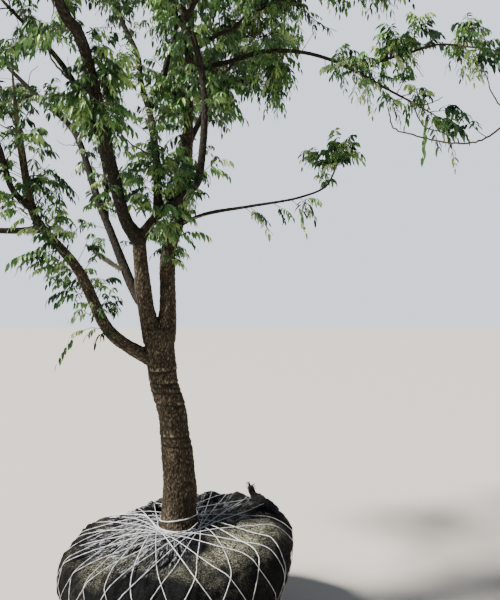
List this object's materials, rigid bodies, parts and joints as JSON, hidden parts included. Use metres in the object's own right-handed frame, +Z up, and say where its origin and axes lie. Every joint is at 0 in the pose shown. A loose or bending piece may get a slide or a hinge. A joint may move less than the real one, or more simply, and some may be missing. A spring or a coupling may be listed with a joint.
{
  "type": "sapling with root ball",
  "caption": "Young broadleaf tree lifted for replanting: leaning trunk, open crown of rising boughs, and a bowl-shaped root ball wrapped in dark net and lashed with white rope.",
  "frame": {"origin": "centre of the root ball's flat underside, where it stands on the ground", "axes": "+Z up along the tree, +X to the right as the picture sees it, +Y away from the viewer"},
  "size_m": [3.1289, 2.9422, 4.1905],
  "materials": {
    "bark": "rough, finely fissured grey-brown bark",
    "foliage": "satin lance-shaped leaves in drooping sprays",
    "net_wrapped_soil": "packed soil under dark woven shade net",
    "shade_net": "gathered dark woven shade net",
    "lashing_rope": "white twisted plastic twine"
  },
  "bodies": {
    "root": {"back_bough": "bark", "back_leaves": "foliage", "back_left_bough": "bark", "back_left_leaves": "foliage", "back_right_bough": "bark", "back_right_leaves": "foliage", "centre_high_leaves": "foliage", "centre_leaves": "foliage", "centre_right_high_leaves": "foliage", "centre_right_leaves": "foliage", "centre_top_leaves": "foliage", "crown_top_leaves": "foliage", "front_bough": "bark", "front_leaves": "foliage", "front_right_bough": "bark", "front_right_leaves": "foliage", "left_back_bough": "bark", "left_back_leaves": "foliage", "left_edge_leaves": "foliage", "left_front_bough": "bark", "left_front_leaves": "foliage", "left_front_side_bough": "bark", "left_front_side_leaves": "foliage", "left_front_top_leaves": "foliage", "left_outer_back_bough": "bark", "left_stem": "bark", "low_left_bough": "bark", "low_left_level_bough": "bark", "low_left_level_leaves": "foliage", "low_left_outer_bough": "bark", "low_left_outer_leaves": "foliage", "low_left_shoot_leaves": "foliage", "low_left_top_leaves": "foliage", "low_right_leaves": "foliage", "middle_bough": "bark", "middle_left_bough": "bark", "middle_left_leaves": "foliage", "middle_left_top_leaves": "foliage", "middle_top_leaves": "foliage", "net_knot": "shade_net", "right_fork_bough": "bark", "right_front_bough": "bark", "right_front_leaves": "foliage", "right_hanging_leaves": "foliage", "right_long_bough": "bark", "right_long_high_leaves": "foliage", "right_long_leaves": "foliage", "right_low_bough": "bark", "right_side_bough": "bark", "right_side_leaves": "foliage", "right_stem": "bark", "right_tip_leaves": "foliage", "right_top_leaves": "foliage", "right_upper_bough": "bark", "right_upper_leaves": "foliage", "root_ball": "net_wrapped_soil", "rope_ring": "lashing_rope", "top_back_bough": "bark", "top_back_leaves": "foliage", "trunk": "bark"}
  },
  "joints": []
}
